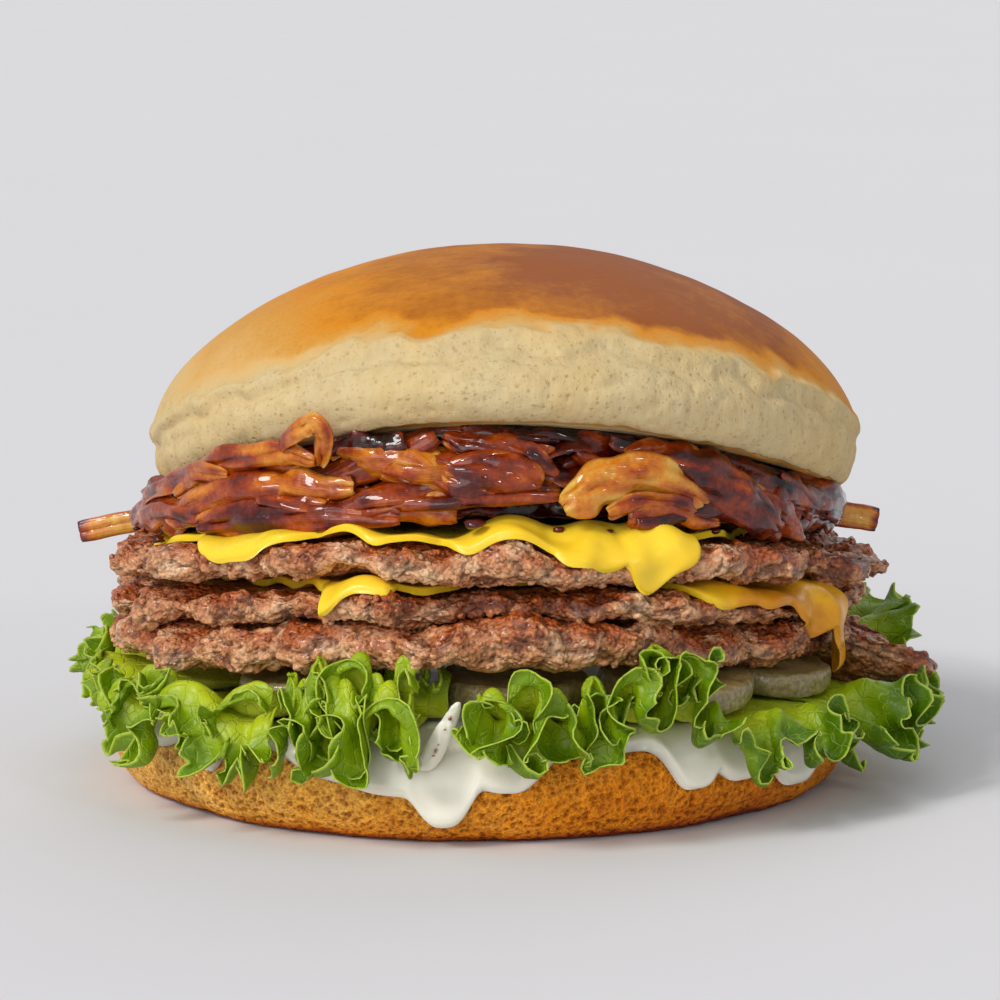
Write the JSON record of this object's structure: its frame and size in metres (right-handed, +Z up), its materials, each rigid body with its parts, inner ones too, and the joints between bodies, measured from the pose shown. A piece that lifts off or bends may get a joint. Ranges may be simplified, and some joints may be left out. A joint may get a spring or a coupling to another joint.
{
  "type": "cheeseburger",
  "caption": "Stacked cheeseburger in a round bun with thin crisp-edged patties, melted cheese, fried onions, pickles, lettuce and white sauce, standing on its flat base.",
  "frame": {"origin": "centre of the flat underside of the lower bun", "axes": "+Z up out of the base; -Y is the front with the long drip of sauce; +X is the right seen from the front"},
  "size_m": [0.1334, 0.1308, 0.081],
  "materials": {
    "crust": "satin baked crust",
    "crumb": "matte toasted crumb",
    "meat": "moist grained browned meat",
    "cheese": "smooth melted sheen",
    "onion": "glossy translucent glaze",
    "leaf": "waxy leaf",
    "pickle": "wet",
    "sauce": "glossy"
  },
  "bodies": {
    "root": {"bun_bottom": "crumb", "white_sauce": "sauce", "lettuce_left": "leaf", "lettuce_front_left": "leaf", "lettuce_front": "leaf", "lettuce_front_right": "leaf", "lettuce_right": "leaf", "lettuce_right_side": "leaf", "lettuce_back_right": "leaf", "lettuce_back": "leaf", "lettuce_back_left": "leaf", "pickle_right": "pickle", "pickle_far_right": "pickle", "pickle_front": "pickle", "pickle_left": "pickle", "patty_lower": "meat", "patty_middle": "meat", "patty_upper": "meat", "cheese_lower": "cheese", "cheese_upper": "cheese", "onions": "onion", "bun_top": "crust"}
  },
  "joints": []
}
